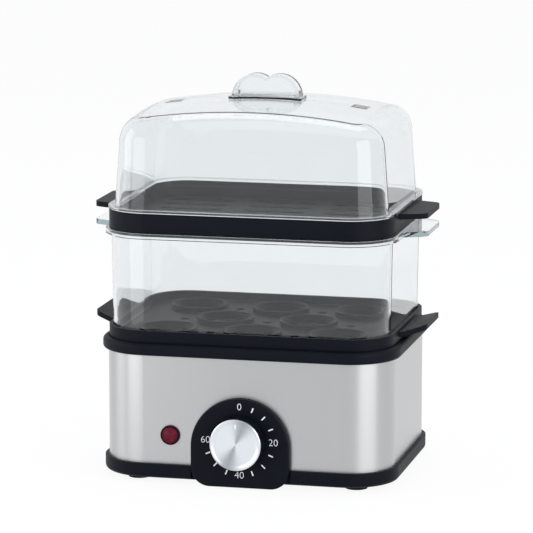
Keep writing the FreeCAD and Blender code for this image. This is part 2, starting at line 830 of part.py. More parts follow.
def make_dial_panel():
    body = new_body("panel_plate")
    sketch = new_sketch(body, "panel_outline", "XZ_Plane", "half_depth")
    side = number("panel_half")
    low = number("panel_clearance")
    spring = number("arch_height")
    radius = number("panel_corner")
    outline = [
        Part.LineSegment(Vector(-side + radius, low, 0), Vector(side - radius, low, 0)),
        arc(side - radius, low + radius, radius, -90, 0),
        Part.LineSegment(Vector(side, low + radius, 0), Vector(side, spring, 0)),
        arc(0, spring, side, 0, 180),
        Part.LineSegment(Vector(-side, spring, 0), Vector(-side, low + radius, 0)),
        arc(-side + radius, low + radius, radius, 180, 270),
    ]
    sketch.addGeometry(outline, False)
    for i in range(6):
        sketch.addConstraint(Sketcher.Constraint("Tangent", i, 2, (i + 1) % 6, 1))
    sketch.addConstraint(Sketcher.Constraint("Horizontal", 0))
    sketch.addConstraint(Sketcher.Constraint("Vertical", 2))
    sketch.addConstraint(Sketcher.Constraint("Equal", 1, 5))
    pin_point(sketch, 3, 3, "0", "arch_height", "arch")
    add_size(sketch, Sketcher.Constraint("Radius", 3, side), "panel_half", "side")
    add_size(sketch, Sketcher.Constraint("Radius", 1, radius), "panel_corner", "corner")
    add_size(sketch, Sketcher.Constraint("DistanceY", -1, 1, 0, 1, low), "panel_clearance", "low")
    pad(body, "panel_block", sketch, "panel_thick")
    front = -number("panel_face")

    def lies_in_front(edge):
        return abs(edge.BoundBox.YMin - front) < TOUCH and abs(edge.BoundBox.YMax - front) < TOUCH
    round_edges(body, "panel_rounding", "panel_round", lies_in_front)
    radius = "shaft_radius + run_gap + fit_gap"
    holes = [cylinder("panel_shaft_way", radius, "panel_thick", "0", "-half_depth", "dial_height", "front")]
    for end in (-1, 1):
        x = f"{end} * timer_screw_spread"
        radius = "screw_radius + hole_gap"
        holes.append(cylinder(f"panel_screw_way{end + 1}", radius, "panel_thick", x, "-half_depth",
                              "dial_height", "front"))
        radius = "screw_head_radius + fit_gap"
        holes.append(cylinder(f"panel_head_way{end + 1}", radius, "screw_head_height + fit_gap", x,
                              "-panel_face", "dial_height", "back"))
    add_node(cut("dial_panel", body, holes), "dial_panel")


def make_knob():
    skirt = cone("knob_skirt", "knob_radius", "knob_radius - knob_draft", "knob_depth", "0", "-knob_back",
                 "dial_height", "front")
    bore = cylinder("knob_bore", "shaft_radius + run_gap", "knob_bore_depth", "0", "-knob_back",
                    "dial_height", "front")
    key = box("knob_key", "2 * shaft_radius", "knob_bore_depth - fit_gap", "shaft_radius",
              "0", "-knob_back - (knob_bore_depth + fit_gap) / 2",
              "dial_height + shaft_radius - flat_depth + run_gap")
    relief = cut("knob_bore_flat", bore, [key])
    add_node(cut("knob_body", skirt, [relief]), "knob_body")

    disc = cylinder("cap_disc", "cap_radius", "cap_thick + cap_rim_height", "0", "-knob_face", "dial_height",
                    "front")
    face = cone("cap_face", "cap_radius - 2 * cap_rim_width", "cap_radius - cap_rim_width",
                "cap_rim_height", "0", "-knob_face - cap_thick", "dial_height", "front")
    add_node(cut("knob_cap", disc, [face]), "knob_cap")


def make_lamp():
    body = new_body("lamp_lens")
    sketch = new_sketch(body, "lens_profile", "XY_Plane", "lamp_height")
    outside = "-half_depth - contact_gap"
    inside = "-half_depth - contact_gap + barrel_length"
    profile = [
        ("-lamp_offset", f"{outside} - lens_flange - lens_dome"),
        ("-lamp_offset", f"{outside} - lens_flange"),
        ("-lamp_offset + barrel_radius - barrel_wall", f"{outside} - lens_flange"),
        ("-lamp_offset + barrel_radius - barrel_wall", inside),
        ("-lamp_offset + barrel_radius", inside),
        ("-lamp_offset + barrel_radius", outside),
        ("-lamp_offset + lens_radius", outside),
        ("-lamp_offset + lens_radius", f"{outside} - lens_flange"),
        ("-lamp_offset + lens_radius - lens_dome", f"{outside} - lens_flange - lens_dome"),
    ]
    draw_polygon(sketch, profile)
    x = number("-lamp_offset")
    length = number("lens_radius")
    line = sketch.addGeometry(Part.LineSegment(Vector(x, 0, 0), Vector(x, length, 0)), True)
    sketch.addConstraint(Sketcher.Constraint("Vertical", line))
    sketch.addConstraint(Sketcher.Constraint("PointOnObject", line, 1, -1))
    sketch.addConstraint(Sketcher.Constraint("PointOnObject", 0, 1, line))
    add_size(sketch, Sketcher.Constraint("DistanceY", line, 1, line, 2, length), "lens_radius", "axis")
    revolve(body, "lens_turn", sketch, "Axis0")
    add_node(body, "lamp_lens")

    back = "-inner_face"
    ring = cylinder("ring_disc", "ring_radius", "ring_height", "-lamp_offset", back, "lamp_height", "back")
    bore = cylinder("ring_bore", "barrel_radius + hole_gap", "ring_height", "-lamp_offset", back,
                    "lamp_height", "back")
    add_node(cut("lamp_ring", ring, [bore]), "lamp_ring")
    radius = "barrel_radius - barrel_wall - hole_gap"
    start = "-half_depth + bulb_setback"
    glass = cylinder("bulb_glass", "bulb_radius", "bulb_length", "-lamp_offset", start, "lamp_height", "back")
    collar = cylinder("bulb_collar", radius, "barrel_length - 2 * bulb_setback", "-lamp_offset",
                      f"{start} + bulb_setback", "lamp_height", "back")
    add_node(join("lamp_bulb", [glass, collar]), "lamp_bulb")


# Clockwork timer, measured inwards from the inside of the steel

def from_steel(distance):
    return f"{distance} - inner_face"


def make_timer_case():
    block = box("case_block", "timer_width", "timer_depth", "timer_height", "0",
                from_steel("timer_depth / 2"), "timer_low")
    hollow = box("case_hollow", "timer_width - 2 * timer_wall", "timer_depth - timer_wall",
                 "timer_height - 2 * timer_wall", "0", from_steel("(timer_depth + timer_wall) / 2"),
                 "timer_low + timer_wall")
    start = from_steel("0")
    radius = "shaft_radius + run_gap"
    holes = [hollow, cylinder("case_bearing", radius, "timer_wall", "0", start, "dial_height", "back")]
    radius = "arbor_radius + run_gap"
    holes.append(cylinder("case_pivot", radius, "timer_wall", "0", start, "pinion_height", "back"))
    for side in (-1, 1):
        x = f"{side} * timer_screw_spread"
        radius = "screw_radius + hole_gap"
        holes.append(cylinder(f"case_screw_way{side + 1}", radius, "timer_wall", x, start, "dial_height",
                              "back"))
        x = f"{side} * contact_spread"
        holes.append(box(f"contact_way{side + 1}", "contact_width + 2 * hole_gap",
                         "contact_gauge + 2 * hole_gap", "timer_wall", x, "contact_y",
                         "timer_top - timer_wall"))
    add_node(cut("timer_case", block, holes), "timer_case")

    rear = "timer_rear"
    plate = box("back_plate", "timer_width", "timer_wall", "timer_height", "0", f"{rear} + timer_wall / 2",
                "timer_low")
    post = cylinder("bell_post", "bell_post_radius", "bell_post_length", "0", f"{rear} + timer_wall",
                    "dial_height", "back")
    rivet = cylinder("bell_rivet", "bell_rivet_radius", "bell_post_length + 2 * bell_gauge", "0",
                     f"{rear} + timer_wall", "dial_height", "back")
    ways = [
        cylinder("back_bearing", "shaft_radius + run_gap", "timer_wall", "0", rear, "dial_height", "back"),
        cylinder("back_pivot", "arbor_radius + run_gap", "timer_wall", "0", rear, "pinion_height", "back"),
    ]
    bridge = join("back_bridge", [post, rivet])
    add_node(join("timer_back", [cut("back_bored", plate, ways), bridge]), "timer_back")


def make_timer_movement():
    end = "timer_rear + timer_wall - fit_gap"
    length = f"{end} + knob_back + knob_bore_depth - fit_gap"
    rod = cylinder("shaft_rod", "shaft_radius", length, "0", end, "dial_height", "front")
    flat = box("shaft_flat", "2 * shaft_radius", "knob_bore_depth", "shaft_radius", "0",
               "-knob_back - knob_bore_depth / 2 - fit_gap", "dial_height + shaft_radius - flat_depth")
    add_node(cut("timer_shaft", rod, [flat]), "timer_shaft")

    bore = "shaft_radius + run_gap"
    start = from_steel("cam_start")
    disc = cylinder("cam_disc", "cam_radius", "cam_thick", "0", start, "dial_height", "back")
    notch = box("cam_notch_cut", "2 * contact_spread", "cam_thick", "2 * cam_notch", "0",
                from_steel("cam_start + cam_thick / 2"), "dial_height + cam_radius - cam_notch")
    hub = cylinder("cam_bore", bore, "cam_thick", "0", start, "dial_height", "back")
    add_node(cut("timer_cam", disc, [notch, hub]), "timer_cam")

    outer = cylinder("spring_outer", "spring_radius", "spring_width", "0", from_steel("spring_start"),
                     "dial_height", "back")
    inner = cylinder("spring_inner", "shaft_radius + fit_gap", "spring_width", "0",
                     from_steel("spring_start"), "dial_height", "back")
    add_node(cut("timer_spring", outer, [inner]), "timer_spring")

    blades = []
    for side in (-1, 1):
        blades.append(box(f"contact_blade{side + 1}", "contact_width", "contact_gauge",
                          "contact_top - contact_base", f"{side} * contact_spread", "contact_y",
                          "contact_base"))
    add_node(join("timer_contacts", blades), "timer_contacts")


def gear_blank(teeth, module, thick, start_angle):
    # A spur wheel about the Y axis: straight-sided teeth, one centred on the start angle.
    # A tooth's rise and depth are in modules, its half widths in shares of the step between teeth.
    rise = 0.6
    depth = 1.1
    half_root = 0.30
    half_tip = 0.13
    pitch = module * teeth / 2
    tip = pitch + rise * module
    root = pitch - depth * module
    step = 2 * math.pi / teeth
    corners_of_tooth = ((root, -half_root), (tip, -half_tip), (tip, half_tip), (root, half_root))
    points = []
    for i in range(teeth):
        middle = start_angle + i * step
        for radius, share in corners_of_tooth:
            angle = middle + share * step
            points.append(Vector(radius * math.cos(angle), 0, radius * math.sin(angle)))
    face = Part.Face(Part.makePolygon(points + points[:1]))
    return face.extrude(Vector(0, thick, 0))


def make_gears():
    start = number(from_steel("gear_start"))
    height = number("dial_height")
    teeth = int(number("gear_teeth"))
    module = number("gear_module")
    thick = number("gear_thick")
    wheel = gear_blank(teeth, module, thick, math.pi / 2)
    bore = Part.makeCylinder(number("shaft_radius + run_gap"), thick, Vector(), Vector(0, 1, 0))
    gear = doc.addObject("Part::Feature", "timer_gear")
    gear.Shape = wheel.cut(bore)
    gear.Placement = FreeCAD.Placement(Vector(0, start, height), Rotation())
    add_node(gear, "timer_gear")

    count = int(number("pinion_teeth"))
    leaf = number("pinion_thick")
    lead = (leaf - thick) / 2
    wheel = gear_blank(count, module, leaf, -math.pi / 2 + math.pi / count)
    front = number(from_steel("contact_gap")) - start + lead
    back = number("timer_rear + timer_wall - contact_gap") - start + lead
    arbor = Part.makeCylinder(number("arbor_radius"), back - front, Vector(0, front, 0), Vector(0, 1, 0))
    pinion = doc.addObject("Part::Feature", "timer_pinion")
    pinion.Shape = wheel.fuse(arbor).removeSplitter()
    pinion.Placement = FreeCAD.Placement(Vector(0, start - lead, number("pinion_height")), Rotation())
    add_node(pinion, "timer_pinion")


def make_bell():
    seat = "timer_rear + timer_wall + bell_post_length"
    rim = f"{seat} - bell_rim"
    length = "bell_rim + bell_gauge"
    cup = cylinder("bell_cup", "bell_radius", length, "0", rim, "dial_height", "back")
    hollow = cylinder("bell_hollow", "bell_radius - bell_gauge", "bell_rim", "0", rim, "dial_height", "back")
    hole = cylinder("bell_hole", "bell_rivet_radius + hole_gap", length, "0", rim, "dial_height", "back")
    add_node(cut("timer_bell", cup, [hollow, hole]), "timer_bell")


def make_timer_screws():
    screws = []
    seat = "panel_face - screw_head_height - fit_gap"
    length = f"{seat} - inner_face + timer_wall"
    for side in (-1, 1):
        x = f"{side} * timer_screw_spread"
        screws.append(cylinder(f"timer_screw_head{side + 1}", "screw_head_radius", "screw_head_height", x,
                               f"-({seat})", "dial_height", "front"))
        screws.append(cylinder(f"timer_screw_shank{side + 1}", "screw_radius", length, x, f"-({seat})",
                               "dial_height", "back"))
    add_node(join("timer_screws", screws), "timer_screws")


# Supply: gland, terminal block and wiring

def make_supply():
    out = "half_depth"
    shape = [
        cylinder("gland_body", "gland_radius", "gland_body_length", "gland_offset", out, "gland_height",
                 "back"),
        cone("gland_cap", "gland_cap_radius", "gland_neck_radius", "gland_cap_length", "gland_offset",
             f"{out} + gland_body_length", "gland_height", "back"),
        cylinder("gland_thread", "gland_neck_radius", "gland_thread_length + steel_gauge", "gland_offset",
                 out, "gland_height", "front"),
    ]
    bore = cylinder("gland_bore_cut", "gland_bore",
                    "gland_thread_length + steel_gauge + gland_body_length + gland_cap_length",
                    "gland_offset", f"{out} + gland_body_length + gland_cap_length", "gland_height", "front")
    add_node(cut("cord_gland", join("gland_shape", shape), [bore]), "cord_gland")
    nut = cylinder("gland_nut_disc", "gland_radius", "gland_nut_height", "gland_offset", "inner_face",
                   "gland_height", "front")
    way = cylinder("gland_nut_way", "gland_neck_radius + hole_gap", "gland_nut_height", "gland_offset",
                   "inner_face", "gland_height", "front")
    add_node(cut("gland_nut", nut, [way]), "gland_nut")
    block = box("terminal_base", "block_length", "block_width", "block_height", "0", "block_y", "pan_inside")
    screws = []
    for side in (-1, 1):
        screws.append(cylinder(f"terminal_way{side + 1}", "screw_radius", "block_height / 2",
                               f"{side} * block_pole", "block_y", "block_top - block_height / 2"))
    add_node(cut("terminal_block", block, screws), "terminal_block")


def tube(points, radius):
    # A round tube along straight runs: each bend takes a share of the shorter run beside it
    bend_share = 0.45
    edges = []
    last = points[0]
    for before, at, after in zip(points, points[1:], points[2:]):
        back = (before - at).normalize()
        on = (after - at).normalize()
        turn = math.pi - back.getAngle(on)
        cutback = bend_share * min((before - at).Length, (after - at).Length)
        bend = cutback / math.tan(turn / 2)
        start = at + back * cutback
        finish = at + on * cutback
        inward = (back + on).normalize()
        middle = at + inward * (math.hypot(bend, cutback) - bend)
        edges.append(Part.LineSegment(last, start).toShape())
        edges.append(Part.Arc(start, middle, finish).toShape())
        last = finish
    edges.append(Part.LineSegment(last, points[-1]).toShape())
    ring = Part.Wire(Part.makeCircle(radius, points[0], points[1] - points[0]))
    return Part.Wire(edges).makePipeShell([ring], True, False)


def make_wire(label, routes):
    radius = number("wire_radius")
    shapes = []
    for route in routes:
        shapes.append(tube([Vector(number(x), number(y), number(z)) for x, y, z in route], radius))
    wire = doc.addObject("Part::Feature", label)
    wire.Shape = shapes[0] if len(shapes) == 1 else Part.makeCompound(shapes)
    add_node(wire, label)


def make_wires():
    blade_back = "contact_y + contact_gauge / 2"
    pole_level = "pan_inside + block_height / 2"
    second_level = "wire_level - 2 * wire_radius - wire_space"
    make_wire("wire_timer", [[
        ("-block_pole", "block_front", pole_level),
        ("-block_pole", "block_front - lead_long", pole_level),
        ("-block_pole - lead_long", "block_front - 2 * lead_long", "dial_height"),
        ("-timer_width / 2 - lead_short", "0", "wire_level"),
        ("-contact_spread", "timer_rear", "wire_level"),
        ("-contact_spread", blade_back, "wire_level"),
    ]])
    make_wire("wire_thermostat", [[
        ("contact_spread", blade_back, "wire_level"),
        ("contact_spread", "heater_radius - loop_depth / 2", "wire_level"),
        ("0", "-wire_turn", "blade_level"),
        ("0", "-blade_tip", "blade_level"),
    ]])
    make_wire("wire_heater", [[
        ("0", "blade_tip", "blade_level"),
        ("0", "wire_turn", "heater_level"),
        ("pin_end / 2", "loop_depth / 2", "heater_level"),
        ("pin_end", "loop_depth / 2", "heater_level"),
    ]])
    make_wire("wire_neutral", [[
        ("-pin_end", "loop_depth / 2", "heater_level"),
        ("fuse_x", "loop_depth / 2", "heater_level"),
        ("fuse_x", "loop_depth / 2", "fuse_foot + fuse_length + 2 * fuse_lead_length"),
    ]])
    make_wire("wire_fuse", [[
        ("fuse_x", "loop_depth / 2", "fuse_foot"),
        ("fuse_x", "loop_depth / 2", "fuse_foot - lead_short"),
        ("block_pole", "block_front - lead_long", pole_level),
        ("block_pole", "block_front", pole_level),
    ]])
    bulb_end = "bulb_length + bulb_setback - half_depth"
    above = "lamp_height + wire_radius + wire_space / 2"
    below = "lamp_height - wire_radius - wire_space / 2"
    make_wire("wire_lamp", [[
        ("-lamp_offset", bulb_end, above),
        ("-lamp_offset", f"{bulb_end} + lead_short", above),
        ("-timer_width / 2 - lead_long", "timer_rear + lead_long", second_level),
        ("contact_spread", "timer_rear - lead_short", second_level),
        ("contact_spread", blade_back, second_level),
    ], [
        ("-lamp_offset", bulb_end, below),
        ("-lamp_offset", f"{bulb_end} + lead_long", below),
        ("-lamp_offset", "0", pole_level),
        ("-block_length / 2 - lead_long", "block_y", pole_level),
        ("-block_length / 2", "block_y", pole_level),
    ]])


# Egg tray, shell, steam tray and lid

def tab_pair(name, half, level, rise):
    # A tab on each side: a plate that leaves the wall, then climbs to its tip
    tip = "half_width + tab_reach"
    side = new_body(name + "_side")
    sketch = new_sketch(side, name + "_side_outline", "XZ_Plane")
    inner = f"{half} - tab_overlap"
    knee = f"{half} + tab_knee"
    draw_polygon(sketch, [
        (inner, level),
        (knee, level),
        (tip, f"{level} + {rise}"),
        (tip, f"{level} + {rise} + tab_thick"),
        (knee, f"{level} + tab_thick"),
        (inner, f"{level} + tab_thick"),
    ])
    pad(side, name + "_side_block", sketch, "tab_root", side="Symmetric")
    plan = new_body(name + "_plan")
    sketch = new_sketch(plan, name + "_plan_outline", "XY_Plane", level)
    draw_polygon(sketch, [
        (inner, "-tab_root / 2"),
        (tip, "-tab_tip / 2"),
        (tip, "tab_tip / 2"),
        (inner, "tab_root / 2"),
    ])
    pad(plan, name + "_plan_block", sketch, f"{rise} + tab_thick")
    reach = number(tip)

    def is_tip_corner(edge):
        return stands_upright(edge) and abs(edge.BoundBox.XMin - reach) < TOUCH
    round_edges(plan, name + "_corners", "tab_round", is_tip_corner)
    right = doc.addObject("Part::Common", name + "_right")
    right.Base = side
    right.Tool = plan
    return [right, mirror(name + "_left", right)]


def make_egg_tray():
    body = new_body("egg_tray_shell")
    pad(body, "tray_block", outline_at(body, "tray_outline", "tray_base", "tray_inset"), "tray_height")
    inner = "tray_inset + tray_wall"
    pocket(body, "tray_well", outline_at(body, "tray_inside", "tray_top", inner), "tray_recess")
    under = outline_at(body, "tray_underside", "tray_base", inner)
    pocket(body, "tray_undercut", under, "tray_floor_under - tray_base", reverse=True)
    seats = [(f"{i} * egg_pitch_x", f"{j} * egg_pitch_y") for i in (-1, 0, 1) for j in (-1, 1)]
    seats += [(f"{i} * egg_pitch_x / 2", "0") for i in (-1, 1)]
    collars = []
    holes = []
    height = "tray_floor + collar_height"
    for i, (x, y) in enumerate(seats):
        collars.append(cylinder(f"collar{i}", "collar_radius", height, x, y, "tray_floor_under"))
        holes.append(cylinder(f"seat_way{i}", "seat_radius", height, x, y, "tray_floor_under"))
        holes.append(cone(f"seat{i}", "seat_radius", "collar_radius - collar_edge", "collar_height", x, y,
                          "tray_floor_top"))
    gaps = [(f"{i} * egg_pitch_x", "0") for i in (-1, 0, 1)]
    gaps += corners("egg_pitch_x / 2", "egg_pitch_y")
    for i, (x, y) in enumerate(gaps):
        holes.append(cylinder(f"steam_way{i}", "steam_hole_radius", "tray_floor", x, y, "tray_floor_under"))
    tabs = tab_pair("egg_tab", "half_width - tray_inset", "tray_top - egg_tab_drop", "egg_tab_rise")
    add_node(cut("egg_tray", join("egg_tray_joined", [body] + collars + tabs), holes), "egg_tray")


def make_middle_shell():
    body = new_body("middle_shell_wall")
    lower = outline_at(body, "shell_foot", "shell_base", "shell_inset")
    upper = outline_at(body, "shell_head", "shell_flange", "shell_inset - shell_spread")
    loft(body, "shell_block", "PartDesign::AdditiveLoft", lower, upper)
    rim = outline_at(body, "upstand_outline", "shell_flange", "upstand_inset - upstand_wall")
    pad(body, "upstand_block", rim, "flange_thick + upstand_height")
    lower = outline_at(body, "shell_bore_foot", "shell_base", "shell_inset + shell_wall")
    upper = outline_at(body, "shell_bore_head", "shell_flange", "shell_inset - shell_spread + shell_wall")
    loft(body, "shell_bore", "PartDesign::SubtractiveLoft", lower, upper)
    mouth = outline_at(body, "shell_mouth", "shell_seat", "shell_inset - shell_spread + shell_wall")
    pocket(body, "shell_mouth_cut", mouth, "flange_thick")
    well = outline_at(body, "upstand_inside", "shell_seat + upstand_height", "upstand_inset")
    pocket(body, "upstand_well", well, "upstand_height")
    tabs = tab_pair("shell_tab", "half_width - upstand_inset + upstand_wall", "shell_flange", "0")
    add_node(join("middle_shell", [body] + tabs), "middle_shell")


def make_steam_tray():
    body = new_body("steam_tray_shell")
    pad(body, "steam_block", outline_at(body, "steam_outline", "steam_base", "steam_inset"), "steam_height")
    inner = "steam_inset + steam_wall"
    pocket(body, "steam_well", outline_at(body, "steam_inside", "steam_top", inner), "steam_recess")
    under = outline_at(body, "steam_underside", "steam_base", inner)
    pocket(body, "steam_undercut", under, "steam_floor_under - steam_base", reverse=True)
    tabs = tab_pair("steam_tab", "half_width - steam_inset", "steam_top - steam_tab_drop", "0")
    slots = []
    columns = int(number("slot_columns"))
    rows = int(number("slot_rows"))
    for i in range(columns):
        for j in range(rows):
            x = f"{i - (columns - 1) / 2} * slot_pitch_x"
            y = f"{j - (rows - 1) / 2} * slot_pitch_y"
            slots.append(box(f"slot{i}_{j}", "slot_length", "slot_width", "steam_floor", x, y,
                             "steam_floor_under"))
    add_node(cut("steam_tray", join("steam_tray_joined", [body] + tabs), slots), "steam_tray")


def draw_roof_cut(sketch, top, reach):
    # Everything above a crowned roof, out to a reach beyond the walls
    crown = number("roof_radius")
    level = number(top)
    out = number(reach)
    angle = math.degrees(math.acos(out / crown))
    edge = Vector(out, level - crown + crown * math.sin(math.radians(angle)), 0)
    lift = number("lid_round")
    outline = [
        arc(0, level - crown, crown, angle, 90),
        Part.LineSegment(Vector(0, level, 0), Vector(0, level + lift, 0)),
        Part.LineSegment(Vector(0, level + lift, 0), Vector(out, level + lift, 0)),
        Part.LineSegment(Vector(out, level + lift, 0), edge),
    ]
    sketch.addGeometry(outline, False)
    sketch.addConstraint(Sketcher.Constraint("Coincident", 0, 2, 1, 1))
    sketch.addConstraint(Sketcher.Constraint("Coincident", 1, 2, 2, 1))
    sketch.addConstraint(Sketcher.Constraint("Coincident", 2, 2, 3, 1))
    sketch.addConstraint(Sketcher.Constraint("Coincident", 3, 2, 0, 1))
    sketch.addConstraint(Sketcher.Constraint("PointOnObject", 0, 3, -2))
    sketch.addConstraint(Sketcher.Constraint("PointOnObject", 1, 1, -2))
    sketch.addConstraint(Sketcher.Constraint("Vertical", 1))
    sketch.addConstraint(Sketcher.Constraint("Horizontal", 2))
    sketch.addConstraint(Sketcher.Constraint("Vertical", 3))
    add_size(sketch, Sketcher.Constraint("DistanceY", -1, 1, 1, 1, level), top, "top")
    add_size(sketch, Sketcher.Constraint("Radius", 0, crown), "roof_radius", "crown")
    add_size(sketch, Sketcher.Constraint("DistanceX", 2, 1, 2, 2, out), reach, "reach")
    add_size(sketch, Sketcher.Constraint("DistanceY", 1, 1, 1, 2, lift), "lid_round", "lift")


def make_dome(name, inset):
    # The lid's outside or inside: leaning walls, a crowned roof and a rounded shoulder
    body = new_body(name)
    lower = outline_at(body, name + "_foot", "lid_foot", f"lid_inset + {inset}")
    upper = outline_at(body, name + "_head", "roof_top", f"lid_inset + lid_lean + {inset}")
    loft(body, name + "_walls", "PartDesign::AdditiveLoft", lower, upper)
    sketch = new_sketch(body, name + "_roof", "XZ_Plane")
    draw_roof_cut(sketch, f"roof_top - ({inset})", "half_width + half_depth")
    revolve(body, name + "_roof_cut", sketch, "V_Axis", "PartDesign::Groove")
    doc.recompute()
    faces = body.Tip.Shape.Faces
    roof = next(face for face in faces if face.Surface.TypeId == "Part::GeomSphere")
    crown = number(f"roof_top - ({inset})")

    def is_roof_edge(edge):
        return edge.BoundBox.ZMax < crown - TOUCH and any(edge.isSame(other) for other in roof.Edges)
    round_edges(body, name + "_shoulder", f"lid_round - ({inset})", is_roof_edge)
    return body


def make_lid():
    outside = make_dome("lid_outside", "0")
    rim = outline_at(outside, "lid_flange_outline", "lid_base", "lid_flange_inset")
    pad(outside, "lid_flange_block", rim, "lid_flange")
    inside = make_dome("lid_inside", "lid_wall")
    seat = box("handle_seat", "seat_pad_length", "seat_pad_width", "seat_pad_rise + lid_wall", "0", "0",
               "roof_top - lid_wall")
    cuts = [inside]
    for side in (-1, 1):
        cuts.append(box(f"leg_way{side + 1}", "leg_length + 2 * fit_gap", "leg_width + 2 * fit_gap",
                        "seat_pad_rise + 2 * lid_wall", f"{side} * leg_x", "0", "roof_top - 2 * lid_wall"))
        count = int(number("vent_count"))
        for i in range(count):
            y = f"{i - (count - 1) / 2} * vent_pitch"
            cuts.append(box(f"vent{side + 1}_{i}", "vent_length", "vent_width", "lid_round",
                            f"{side} * vent_offset", y, "roof_top - lid_round"))
    add_node(cut("lid", join("lid_joined", [outside, seat]), cuts), "lid")


def draw_lobes(sketch, inset):
    # Two round lobes side by side on a flat base, centred below it, with a notch where they meet
    offset = number("lobe_offset")
    radius = number(f"lobe_radius - {inset}")
    base = number("handle_base")
    centre = number("handle_base - lobe_drop")
    start = math.degrees(math.asin((base - centre) / radius))
    meet = math.degrees(math.acos(offset / radius))
    end = offset + radius * math.cos(math.radians(start))
    outline = [
        Part.LineSegment(Vector(-end, base, 0), Vector(end, base, 0)),
        arc(offset, centre, radius, start, 180 - meet),
        arc(-offset, centre, radius, meet, 180 - start),
    ]
    sketch.addGeometry(outline, False)
    for i in range(3):
        sketch.addConstraint(Sketcher.Constraint("Coincident", i, 2, (i + 1) % 3, 1))
    sketch.addConstraint(Sketcher.Constraint("Horizontal", 0))
    sketch.addConstraint(Sketcher.Constraint("Equal", 1, 2))
    sketch.addConstraint(Sketcher.Constraint("Symmetric", 1, 3, 2, 3, -2))
    add_size(sketch, Sketcher.Constraint("DistanceY", -1, 1, 0, 1, base), "handle_base", "base")
    add_size(sketch, Sketcher.Constraint("DistanceY", -1, 1, 1, 3, centre), "handle_base - lobe_drop",
             "centre")
    add_size(sketch, Sketcher.Constraint("DistanceX", 2, 3, 1, 3, 2 * offset), "2 * lobe_offset", "offset")
    add_size(sketch, Sketcher.Constraint("Radius", 1, radius), f"lobe_radius - {inset}", "radius")


def make_lid_handle():
    bodies = []
    for name, inset, thick in (("handle_outside", "0", "handle_thick"),
                               ("handle_inside", "handle_wall", "handle_thick - 2 * handle_wall")):
        body = new_body(name)
        sketch = new_sketch(body, name + "_outline", "XZ_Plane")
        draw_lobes(sketch, inset)
        pad(body, name + "_block", sketch, thick, side="Symmetric")
        bodies.append(body)
    shell = cut("handle_shell", bodies[0], [bodies[1]])
    legs = [shell]
    for side in (-1, 1):
        x = f"{side} * leg_x"
        low = "roof_top - lid_wall - leg_tail"
        height = f"handle_base + leg_length - ({low})"
        legs.append(box(f"handle_leg{side + 1}", "leg_length", "leg_width", height, x, "0", low))
        legs.append(box(f"handle_barb{side + 1}", "leg_length", "leg_width", "barb_height",
                        f"{side} * (leg_x - barb_reach)", "0", low))
    add_node(join("lid_handle", legs), "lid_handle")


def build():
    fill_sheets()
    make_bottom_pan()
    make_feet()
    make_steel_band()
    make_top_frame()
    make_pan_screws()
    make_dish()
    make_heater()
    make_safety_pieces()
    make_dial_panel()
    make_knob()
    make_lamp()
    make_timer_case()
    make_timer_movement()
    make_gears()
    make_bell()
    make_timer_screws()
    make_supply()
    make_wires()
    make_egg_tray()
    make_middle_shell()
    make_steam_tray()
    make_lid()
    make_lid_handle()
    doc.recompute()


def check():
    for item in doc.Objects:
        if "Invalid" in item.State or "Error" in item.State:
            raise ValueError(f"{item.Label} did not build: {item.State}")
    for node in nodes:
        if node.Shape.isNull() or not node.Shape.isValid():
            raise ValueError(f"{node.Label} has no valid shape")
        if not node.Shape.Solids:
            raise ValueError(f"{node.Label} has no solid")


def write():
    os.makedirs("parts", exist_ok=True)
    for node in nodes:
        node.Shape.exportStep(f"parts/{node.Label}.step")
        print(node.Label, len(node.Shape.Solids), round(node.Shape.Volume, 1))


build()
check()
write()
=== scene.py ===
import json
import math

import bmesh
import bpy
from mathutils import Matrix, Vector


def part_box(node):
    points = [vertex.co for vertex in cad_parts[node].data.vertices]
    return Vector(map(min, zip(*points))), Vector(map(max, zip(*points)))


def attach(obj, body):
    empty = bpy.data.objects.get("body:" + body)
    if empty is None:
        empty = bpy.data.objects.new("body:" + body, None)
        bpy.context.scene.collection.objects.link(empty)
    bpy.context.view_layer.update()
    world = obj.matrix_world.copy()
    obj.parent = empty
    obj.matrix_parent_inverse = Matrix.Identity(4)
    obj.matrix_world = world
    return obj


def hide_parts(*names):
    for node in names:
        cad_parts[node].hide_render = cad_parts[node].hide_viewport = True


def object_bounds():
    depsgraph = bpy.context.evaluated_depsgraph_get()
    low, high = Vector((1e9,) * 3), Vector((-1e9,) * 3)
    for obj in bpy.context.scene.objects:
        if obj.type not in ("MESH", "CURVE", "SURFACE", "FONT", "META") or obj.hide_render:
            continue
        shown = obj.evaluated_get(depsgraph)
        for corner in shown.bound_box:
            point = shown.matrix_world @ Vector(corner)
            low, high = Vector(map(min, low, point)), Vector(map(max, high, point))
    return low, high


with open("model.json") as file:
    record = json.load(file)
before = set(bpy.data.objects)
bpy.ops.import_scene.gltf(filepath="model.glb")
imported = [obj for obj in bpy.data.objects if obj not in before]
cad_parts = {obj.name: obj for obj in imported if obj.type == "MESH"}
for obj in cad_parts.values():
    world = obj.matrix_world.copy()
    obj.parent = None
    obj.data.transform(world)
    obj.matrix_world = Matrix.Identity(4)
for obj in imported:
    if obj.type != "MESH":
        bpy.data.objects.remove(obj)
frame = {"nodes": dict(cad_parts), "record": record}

cadLow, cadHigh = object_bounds()
print("egg cooker frame loaded:", len(frame["nodes"]), "nodes")


